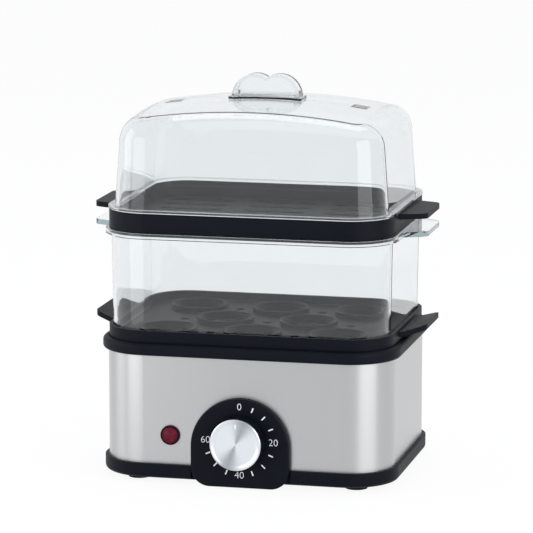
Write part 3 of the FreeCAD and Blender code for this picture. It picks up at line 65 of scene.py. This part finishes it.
# Shader arithmetic: a wire is a node's output that takes part in Python sums
class Wire:
    def __init__(self, paint, socket):
        self.paint = paint
        self.socket = socket

    def calc(self, operation, *values):
        return self.paint.node("Math", {"operation": operation}, dict(enumerate(values)))

    def __add__(self, other):
        return self.calc("ADD", self, other)

    def __radd__(self, other):
        return self.calc("ADD", other, self)

    def __sub__(self, other):
        return self.calc("SUBTRACT", self, other)

    def __rsub__(self, other):
        return self.calc("SUBTRACT", other, self)

    def __mul__(self, other):
        return self.calc("MULTIPLY", self, other)

    def __rmul__(self, other):
        return self.calc("MULTIPLY", other, self)


# A paint fills the node tree of a material or of the world
class Paint:
    edgeSamples = 4

    def __init__(self, owner):
        owner.use_nodes = True
        self.owner = owner
        self.tree = owner.node_tree
        self.tree.nodes.clear()

    def node(self, kind, settings=None, inputs=None, out=0):
        made = self.tree.nodes.new("ShaderNode" + kind)
        for name, value in (settings or {}).items():
            setattr(made, name, value)
        for key, value in (inputs or {}).items():
            if isinstance(value, Wire):
                self.tree.links.new(value.socket, made.inputs[key])
            else:
                made.inputs[key].default_value = value
        return Wire(self, made.outputs[out]) if made.outputs else made

    def blend(self, factor, first, second):
        # inputs 6 and 7 and output 2 are the Mix node's colours
        return self.node("Mix", {"data_type": "RGBA"}, {0: factor, 6: first, 7: second}, out=2)

    def place(self, scale=(1.0, 1.0, 1.0), centre=(0.0, 0.0, 0.0)):
        spot = self.node("TexCoord", out="Object")
        shift = [-c * s for c, s in zip(centre, scale)]
        return self.node("Mapping", None, {"Vector": spot, "Location": shift, "Scale": scale})

    def noise(self, where, scale, detail=2.0):
        return self.node("TexNoise", None, {"Vector": where, "Scale": scale, "Detail": detail})

    def rings(self, where, scale, wobble):
        # rings about the front-to-back axis; output 1 is the plain value
        return self.node("TexWave", {"wave_type": "RINGS", "rings_direction": "Y"},
                         {"Vector": where, "Scale": scale, "Distortion": wobble}, out=1)

    def bump(self, height, depth, edgeRound=0.0):
        values = {"Height": height, "Distance": depth, "Strength": 1.0}
        if edgeRound:
            values["Normal"] = self.node("Bevel", {"samples": self.edgeSamples},
                                         {"Radius": edgeRound})
        return self.node("Bump", None, values)

    def finish(self, shader, kind="OutputMaterial", volume=None):
        sockets = {"Surface": shader}
        if volume:
            sockets["Volume"] = volume
        self.node(kind, None, sockets)
        return self.owner


def newPaint(name):
    return Paint(bpy.data.materials.new(name))


def rgba(colour):
    return (*colour, 1.0)


# Finishes
noiseMiddle = 0.5   # a noise swings about this

blackPlastic = {
    "dark": (0.0016, 0.0027, 0.0060),
    "light": (0.0032, 0.0048, 0.0095),
    "roughness": 0.48,
    "roughnessSwing": 0.10,
    "specular": 0.09,
    "mottleScale": 90.0,
    "mottleDetail": 3.0,
    "grainScale": 2400.0,
    "grainDepth": 0.000012,
    "edgeRound": 0.0007,
}
nylonPlastic = dict(
    blackPlastic,
    dark=(0.05, 0.05, 0.052),
    light=(0.075, 0.075, 0.078),
    roughness=0.5,
)
sleevePlastic = dict(
    blackPlastic,
    dark=(0.55, 0.50, 0.43),
    light=(0.66, 0.61, 0.53),
    roughness=0.55,
)
footRubber = dict(
    blackPlastic,
    dark=(0.010, 0.010, 0.010),
    light=(0.018, 0.018, 0.018),
    roughness=0.75,
    grainScale=1500.0,
    grainDepth=0.00003,
)
gasketRubber = dict(footRubber, dark=(0.30, 0.30, 0.28), light=(0.38, 0.38, 0.36))
whitePrint = dict(
    blackPlastic,
    dark=(0.74, 0.76, 0.78),
    light=(0.84, 0.86, 0.88),
    roughness=0.45,
    grainDepth=0.000004,
    edgeRound=0.0,
)


def mouldedPlastic(name, look):
    paint = newPaint(name)
    where = paint.place()
    mottle = paint.noise(where, look["mottleScale"], look["mottleDetail"])
    grain = paint.noise(where, look["grainScale"])
    shader = paint.node("BsdfPrincipled", None, {
        "Base Color": paint.blend(mottle, rgba(look["dark"]), rgba(look["light"])),
        "Roughness": look["roughness"] + (mottle - noiseMiddle) * look["roughnessSwing"],
        "Specular IOR Level": look["specular"],
        "Normal": paint.bump(grain, look["grainDepth"], look["edgeRound"]),
    })
    return paint.finish(shader)


bandSteel = {
    "dark": (0.465, 0.467, 0.477),
    "light": (0.505, 0.507, 0.517),
    "roughness": 0.34,
    "roughnessSwing": 0.04,
    "stretch": 0.65,   # drawn highlights run up and down
    "stretchTurn": 0.25,   # in turns
    "streak": (2200.0, 2200.0, 14.0),   # fine round the housing, long up and down
    "streakDetail": 4.0,
    "streakShare": 0.6,   # the rest of the tone is cloud
    "streakDepth": 0.000001,
    "cloudScale": 18.0,
    "cloudDetail": 3.0,
}
dishSteel = dict(
    bandSteel,
    dark=(0.42, 0.42, 0.415),
    light=(0.52, 0.52, 0.515),
    stretch=0.0,
    streak=(900.0, 30.0, 900.0),
)
zincSteel = dict(
    bandSteel,
    dark=(0.46, 0.47, 0.48),
    light=(0.58, 0.59, 0.60),
    stretch=0.0,
    streak=(700.0, 700.0, 700.0),
)
springSteel = dict(zincSteel, dark=(0.18, 0.19, 0.22), light=(0.26, 0.27, 0.30))
heaterSheath = dict(zincSteel, dark=(0.10, 0.09, 0.085), light=(0.17, 0.155, 0.14), roughness=0.5)
stampedBrass = dict(zincSteel, dark=(0.52, 0.36, 0.12), light=(0.66, 0.48, 0.18))
fuseCan = dict(zincSteel, dark=(0.50, 0.47, 0.40), light=(0.60, 0.57, 0.50), roughness=0.45)


def brushedMetal(name, look):
    paint = newPaint(name)
    streak = paint.noise(paint.place(look["streak"]), 1.0, look["streakDetail"])
    cloud = paint.noise(paint.place(), look["cloudScale"], look["cloudDetail"])
    tone = streak * look["streakShare"] + cloud * (1.0 - look["streakShare"])
    shader = paint.node("BsdfPrincipled", None, {
        "Base Color": paint.blend(tone, rgba(look["dark"]), rgba(look["light"])),
        "Metallic": 1.0,
        "Roughness": look["roughness"] + (streak - noiseMiddle) * look["roughnessSwing"],
        "Anisotropic": look["stretch"],
        "Anisotropic Rotation": look["stretchTurn"],
        "Normal": paint.bump(streak, look["streakDepth"]),
    })
    return paint.finish(shader)


clearPlastic = {
    "dark": (0.93, 0.95, 0.96),
    "light": (0.97, 0.98, 0.985),
    "roughness": 0.015,
    "roughnessSwing": 0.02,
    "index": 1.49,
    "rippleScale": 40.0,
    "rippleDepth": 0.00002,
    "shade": (0.94, 0.955, 0.965),   # what the wall lets through to what lies behind it
    "depthTint": (0.71, 0.77, 0.79),   # edges look darker than the thin walls
    "depthDensity": 65.0,
}
bulbGlass = dict(clearPlastic, dark=(0.80, 0.55, 0.40), light=(0.88, 0.62, 0.46))


def clearMoulding(name, look):
    paint = newPaint(name)
    ripple = paint.noise(paint.place(), look["rippleScale"])
    wall = paint.node("BsdfPrincipled", None, {
        "Base Color": paint.blend(ripple, rgba(look["dark"]), rgba(look["light"])),
        "Roughness": look["roughness"] + ripple * look["roughnessSwing"],
        "IOR": look["index"],
        "Transmission Weight": 1.0,
        "Normal": paint.bump(ripple, look["rippleDepth"]),
    })
    through = paint.node("BsdfTransparent", None, {"Color": rgba(look["shade"])})
    shadowRay = paint.node("LightPath", out="Is Shadow Ray")
    depth = paint.node("VolumeAbsorption", None, {
        "Color": rgba(look["depthTint"]),
        "Density": look["depthDensity"],
    })
    surface = paint.node("MixShader", None, {0: shadowRay, 1: wall, 2: through})
    return paint.finish(surface, volume=depth)


redLens = {
    "dark": (0.055, 0.001, 0.008),
    "light": (0.17, 0.002, 0.020),
    "roughness": 0.22,
    "roughnessSwing": 0.1,
    "coat": 0.05,
    "specular": 0.15,
    "cloudScale": 220.0,
    "cloudDetail": 3.0,
    "ringScale": 900.0,
    "ringWobble": 0.4,
    "ringDepth": 0.00010,
}


def tintedLens(name, look, centre):
    paint = newPaint(name)
    where = paint.place(centre=centre)
    ring = paint.rings(where, look["ringScale"], look["ringWobble"])
    cloud = paint.noise(where, look["cloudScale"], look["cloudDetail"])
    shader = paint.node("BsdfPrincipled", None, {
        "Base Color": paint.blend(cloud, rgba(look["dark"]), rgba(look["light"])),
        "Roughness": look["roughness"] + cloud * look["roughnessSwing"],
        "Coat Weight": look["coat"],
        "Specular IOR Level": look["specular"],
        "Normal": paint.bump(ring, look["ringDepth"]),
    })
    return paint.finish(shader)


spunMetalPaintedSheen = {
    # dark and light are the painted shaded and lit tones of the knob face's reflection wedges,
    # not two colours of the metal
    "dark": (0.34, 0.37, 0.40),
    "light": (0.78, 0.82, 0.86),
    "roughness": 0.24,
    "roughnessSwing": 0.10,
    "lineScale": 3000.0,
    "lineWobble": 2.0,
    "lineShare": 0.15,
    "paintedWedgeCount": 2.0,
    "paintedShadeTurn": 0.38,   # where the two painted dark wedges of reflection lie, in radians from the top
    "paintedShadePower": 5.0,   # a higher power makes the painted dark wedges narrower
}


def spunAluminiumPaintedSheen(name, look, centre):
    paint = newPaint(name)
    where = paint.place(centre=centre)
    line = paint.rings(where, look["lineScale"], look["lineWobble"])
    across = paint.node("SeparateXYZ", None, {0: where}, out="X")
    up = paint.node("SeparateXYZ", None, {0: where}, out="Z")
    # painted reflection: the face is painted light all round except two narrow painted dark
    # wedges, set by the angle about the centre, in place of the turned grooves' highlight
    angle = across.calc("ARCTAN2", across, up)
    swing = angle.calc("COSINE", (angle - look["paintedShadeTurn"]) * look["paintedWedgeCount"])
    paintedShadeWedge = swing * 0.5 + 0.5   # from -1..1 to 0..1
    paintedHighlight = 1.0 - paintedShadeWedge.calc("POWER", paintedShadeWedge, look["paintedShadePower"])
    shade = paintedHighlight * (1.0 - look["lineShare"]) + line * look["lineShare"]
    shader = paint.node("BsdfPrincipled", None, {
        "Base Color": paint.blend(shade, rgba(look["dark"]), rgba(look["light"])),
        "Metallic": 1.0,
        "Roughness": look["roughness"] + line * look["roughnessSwing"],
    })
    return paint.finish(shader)


# Meshes
mergeGap = 1e-7


def newPiece(name, bm, material, sharpAngle=35.0):
    bmesh.ops.remove_doubles(bm, verts=bm.verts, dist=mergeGap)
    bmesh.ops.recalc_face_normals(bm, faces=bm.faces)
    mesh = bpy.data.meshes.new(name)
    bm.to_mesh(mesh)
    bm.free()
    mesh.shade_smooth()
    mesh.set_sharp_from_angle(angle=math.radians(sharpAngle))
    mesh.materials.append(material)
    piece = bpy.data.objects.new(name, mesh)
    bpy.context.scene.collection.objects.link(piece)
    return piece


def spinProfile(profile, centre, steps):
    # profile: (radius, y) pairs turned about the front-to-back axis through centre
    bm = bmesh.new()
    verts = [bm.verts.new((centre.x + radius, y, centre.z)) for radius, y in profile]
    edges = [bm.edges.new(pair) for pair in zip(verts, verts[1:])]
    bmesh.ops.spin(bm, geom=verts + edges, cent=centre, axis=(0, 1, 0), angle=math.tau,
                   steps=steps, use_merge=True)
    return bm


def middle(node):
    low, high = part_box(node)
    return (low + high) / 2


# Every CAD node takes the finish of its material slot
slotFinish = {
    "black_plastic": mouldedPlastic("blackPlastic", blackPlastic),
    "brushed_steel": brushedMetal("bandSteel", bandSteel),
    "clear_plastic": clearMoulding("clearPlastic", clearPlastic),
    "spun_aluminium": spunAluminiumPaintedSheen("spunMetalPaintedSheen", spunMetalPaintedSheen, middle("knob_cap")),
    "red_lens": tintedLens("redLens", redLens, middle("lamp_lens")),
    "foot_rubber": mouldedPlastic("footRubber", footRubber),
    "dish_steel": brushedMetal("dishSteel", dishSteel),
    "silicone": mouldedPlastic("gasketRubber", gasketRubber),
    "heater_sheath": brushedMetal("heaterSheath", heaterSheath),
    "zinc_steel": brushedMetal("zincSteel", zincSteel),
    "nylon": mouldedPlastic("nylonPlastic", nylonPlastic),
    "spring_steel": brushedMetal("springSteel", springSteel),
    "brass": brushedMetal("stampedBrass", stampedBrass),
    "fuse_can": brushedMetal("fuseCan", fuseCan),
    "bulb_glass": clearMoulding("bulbGlass", bulbGlass),
    "wire_sleeve": mouldedPlastic("sleevePlastic", sleevePlastic),
}
printFinish = mouldedPlastic("whitePrint", whitePrint)
for part in frame["record"]["subparts"]:
    node = frame["nodes"][part["node"]]
    node.data.materials.clear()
    node.data.materials.append(slotFinish[part["material_slot"]])
print("finishes on the frame's nodes:", len(slotFinish))


# Knob face: a spun disc with turned grooves and a raised rim
knobFace = {
    "recess": 0.0008,
    "rimWidth": 0.0015,   # the slope up to the rim is as wide again
    "rimRound": 0.0003,
    "groovePitch": 0.0006,
    "grooveDepth": 0.00004,
    "spinSteps": 128,
}


def knobDisc(look):
    low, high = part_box("knob_cap")
    radius = (high.x - low.x) / 2
    inner = radius - 2 * look["rimWidth"]
    floor = low.y + look["recess"]
    return low, high, radius, inner, floor


def makeKnobFace(look):
    low, high, radius, inner, floor = knobDisc(look)
    count = int(2 * inner / look["groovePitch"])   # two points to a groove
    profile = []
    for i in range(count):
        depth = look["grooveDepth"] * (i % 2)
        profile.append((inner * i / count, floor + depth))
    profile += [
        (inner, floor),
        (radius - look["rimWidth"], low.y + look["rimRound"]),
        (radius - look["rimWidth"] + look["rimRound"], low.y),
        (radius - look["rimRound"], low.y),
        (radius, low.y + look["rimRound"]),
        (radius, high.y),
        (0.0, high.y),
    ]
    disc = spinProfile(profile, middle("knob_cap"), look["spinSteps"])
    piece = newPiece("knobFace", disc, slotFinish["spun_aluminium"])
    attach(piece, "knob")
    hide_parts("knob_cap")


# Printed bars: the knob's pointer and the dial's ticks
barCornerSteps = 3


def bevelledBar(bm, size, spot, turn, corner):
    # size: width, thickness front to back, height
    verts = bmesh.ops.create_cube(bm, size=1.0)["verts"]
    bmesh.ops.scale(bm, vec=size, verts=verts)
    upright = []
    for edge in bm.edges:
        first, second = edge.verts
        if first in verts and abs(first.co.y - second.co.y) > size[1] / 2:
            upright.append(edge)
    made = bmesh.ops.bevel(bm, geom=upright, offset=corner, affect="EDGES",
                           segments=barCornerSteps, profile=0.5, material=-1)
    parts = {v for v in verts if v.is_valid} | set(made["verts"])
    move = Matrix.Translation(spot) @ Matrix.Rotation(turn, 4, "Y")
    bmesh.ops.transform(bm, matrix=move, verts=list(parts))


# Pointer line printed on the knob's face
pointer = {
    "length": 0.0030,
    "width": 0.0008,
    "thick": 0.00012,
    "edgeGap": 0.0002,
    "corner": 0.0002,
}


def makePointer(look):
    *_, inner, floor = knobDisc(knobFace)
    centre = middle("knob_cap")
    height = centre.z + inner - look["edgeGap"] - look["length"] / 2
    size = (look["width"], look["thick"], look["length"])
    bm = bmesh.new()
    bevelledBar(bm, size, Vector((centre.x, floor, height)), 0.0, look["corner"])
    piece = newPiece("knobPointer", bm, printFinish)
    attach(piece, "knob")


makeKnobFace(knobFace)
makePointer(pointer)
print("knob face and pointer made")


# Dial print: minutes at the quarter turns, plain ticks between them
dialPrint = {
    "numbers": ("0", "20", "40", "60"),
    "tickTurns": (1, 2, 3, 5, 6, 7, 9, 10, 11),   # sixteenths of a turn from the top
    "ring": 0.0217,
    "size": 0.0063,
    "thin": 0.00010,   # taken off each side of a stroke
    "thick": 0.00006,
    "tickLength": 0.0032,
    "tickWidth": 0.0008,
    "corner": 0.0002,
}


def numberMesh(text, look):
    curve = bpy.data.curves.new("dialNumber", "FONT")
    curve.body = text
    curve.size = look["size"]
    curve.extrude = look["thick"]
    curve.offset = -look["thin"]
    curve.align_x = "CENTER"
    curve.align_y = "CENTER"
    holder = bpy.data.objects.new("dialNumber", curve)
    bpy.context.scene.collection.objects.link(holder)
    bpy.context.view_layer.update()
    shown = holder.evaluated_get(bpy.context.evaluated_depsgraph_get())
    mesh = bpy.data.meshes.new_from_object(shown)
    bpy.data.objects.remove(holder)
    return mesh


def dialSpot(look, angle):
    # a point on the ring of print, at an angle clockwise from the top
    dial = middle("knob_body")
    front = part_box("dial_panel")[0].y
    across = look["ring"] * math.sin(angle)
    up = look["ring"] * math.cos(angle)
    return Vector((dial.x + across, front, dial.z + up))


def makeDialPrint(look):
    quarter = math.pi / 2
    sixteenth = math.pi / 8
    bm = bmesh.new()
    for i, text in enumerate(look["numbers"]):
        spot = dialSpot(look, i * quarter)
        mesh = numberMesh(text, look)
        mesh.transform(Matrix.Translation(spot) @ Matrix.Rotation(quarter, 4, "X"))
        bm.from_mesh(mesh)
        bpy.data.meshes.remove(mesh)
    tick = (look["tickWidth"], 2 * look["thick"], look["tickLength"])
    for turn in look["tickTurns"]:
        angle = turn * sixteenth
        bevelledBar(bm, tick, dialSpot(look, angle), angle, look["corner"])
    piece = newPiece("dialPrint", bm, printFinish)
    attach(piece, "base")


makeDialPrint(dialPrint)
print("dial print made")


# Pilot lamp: a domed red window in a thin dark bezel
pilotLamp = {
    "bezelWidth": 0.0010,
    "bezelProud": 0.0005,
    "dome": 0.0014,
    "round": 0.0003,
    "domeSteps": 8,
    "spinSteps": 96,
}


def makeLamp(look):
    low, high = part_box("lamp_lens")
    centre = middle("lamp_lens")
    radius = (high.x - low.x) / 2
    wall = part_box("steel_band")[0].y
    rim = radius - look["bezelWidth"]
    front = low.y + look["dome"]
    lip = front - look["bezelProud"]
    bezel = [
        (rim, wall),
        (rim, lip + look["round"]),
        (rim + look["round"], lip),
        (radius - look["round"], lip),
        (radius, lip + look["round"]),
        (radius, wall),
        (rim, wall),
    ]
    ring = newPiece("lampBezel", spinProfile(bezel, centre, look["spinSteps"]),
                    slotFinish["black_plastic"])
    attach(ring, "base")
    window = []
    for i in range(look["domeSteps"] + 1):
        angle = i * math.pi / 2 / look["domeSteps"]
        window.append((rim * math.sin(angle), front - look["dome"] * math.cos(angle)))
    window += [(rim, wall), (0.0, wall)]
    lens = newPiece("lampWindow", spinProfile(window, centre, look["spinSteps"]),
                    slotFinish["red_lens"])
    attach(lens, "base")
    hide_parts("lamp_lens")


makeLamp(pilotLamp)
print("lamp made")


# What the eye, metal and glass see stays white; other rays meet the floor and room as lit
pureWhite = rgba((1.0, 1.0, 1.0))


def seenRay(paint):
    camera = paint.node("LightPath", out="Is Camera Ray")
    glossy = paint.node("LightPath", out="Is Glossy Ray")
    through = paint.node("LightPath", out="Is Transmission Ray")
    return camera.calc("MAXIMUM", camera, glossy.calc("MAXIMUM", glossy, through))


# Floor: white to the eye, and keeps the shadow
paleFloor = {
    "half": 6.0,
    "colour": (0.90, 0.90, 0.90),
    "cloudScale": 6.0,
    "cloudDetail": 3.0,
    "cloudShade": 0.99,
    "glow": 0.92,   # the rest of what is seen is lit by the lamps and takes the shadow
}


def makeFloor(look):
    paint = newPaint("paleFloor")
    cloud = paint.noise(paint.place(), look["cloudScale"], look["cloudDetail"])
    shaded = [c * look["cloudShade"] for c in look["colour"]]
    dull = paint.node("BsdfDiffuse", None, {
        "Color": paint.blend(cloud, rgba(shaded), rgba(look["colour"])),
    })
    glow = paint.node("Emission", None, {"Color": pureWhite, "Strength": 1.0})
    share = seenRay(paint) * look["glow"]
    material = paint.finish(paint.node("MixShader", None, {0: share, 1: dull, 2: glow}))
    bm = bmesh.new()
    bmesh.ops.create_grid(bm, x_segments=1, y_segments=1, size=look["half"])
    floor = newPiece("paleFloor", bm, material)


room = {
    "colour": (0.95, 0.97, 1.0),
    "level": 0.78,
}


def makeRoom(look):
    world = bpy.data.worlds.new("room")
    bpy.context.scene.world = world
    paint = Paint(world)
    seen = paint.node("Background", None, {"Color": pureWhite, "Strength": 1.0})
    lit = paint.node("Background", None, {
        "Color": rgba(look["colour"]),
        "Strength": look["level"],
    })
    air = paint.node("MixShader", None, {0: seenRay(paint), 1: lit, 2: seen})
    paint.finish(air, "OutputWorld")


# Lights: turn in degrees from the front, the rest in metres and watts
lights = {
    "rightBox": {"turn": 56.0, "height": 0.45, "reach": 1.3, "size": (1.10, 1.1), "power": 10.0},
    "leftBox": {"turn": -78.0, "height": 0.45, "reach": 1.3, "size": (0.7, 1.1), "power": 5.0},
    "topBox": {"turn": 180.0, "height": 1.3, "reach": 0.4, "size": (1.0, 0.7), "power": 5.0},
    "nearBox": {"turn": -38.0, "height": 0.12, "reach": 0.55, "size": (0.30, 0.50), "power": 0.8},
}


def makeLight(name, look):
    aim = (cadLow + cadHigh) / 2
    turn = math.radians(look["turn"])
    across = look["reach"] * math.sin(turn)
    back = -look["reach"] * math.cos(turn)
    place = Vector((across, back, look["height"]))
    data = bpy.data.lights.new(name, "AREA")
    data.shape = "RECTANGLE"
    data.size, data.size_y = look["size"]
    data.energy = look["power"]
    light = bpy.data.objects.new(name, data)
    light.visible_transmission = False   # clear walls show the room behind, not the lamps
    facing = (aim - place).to_track_quat("-Z", "Y").to_matrix().to_4x4()
    light.matrix_world = Matrix.Translation(place) @ facing
    bpy.context.scene.collection.objects.link(light)


# Camera: the photograph's own station, level, a little right of front and above
view = {
    "yaw": 13.257,
    "pitch": 10.284,
    "lens": 247.27,
    "sensor": 36.0,
    "place": (0.52540, -2.23266, 0.54376),
}


def makeCamera(look):
    yaw = math.radians(look["yaw"])
    pitch = math.radians(look["pitch"])
    level = math.cos(pitch)
    back = Vector((math.sin(yaw) * level, -math.cos(yaw) * level, math.sin(pitch)))
    data = bpy.data.cameras.new("photoView")
    data.lens = look["lens"]
    data.sensor_width = look["sensor"]
    camera = bpy.data.objects.new("photoView", data)
    turn = (-back).to_track_quat("-Z", "Y").to_matrix().to_4x4()
    camera.matrix_world = Matrix.Translation(look["place"]) @ turn
    bpy.context.scene.collection.objects.link(camera)
    bpy.context.scene.camera = camera


makeFloor(paleFloor)
makeRoom(room)
for lightName, lightLook in lights.items():
    makeLight(lightName, lightLook)
makeCamera(view)
bpy.context.scene.view_settings.view_transform = "Standard"
print("stage, lights and camera set")
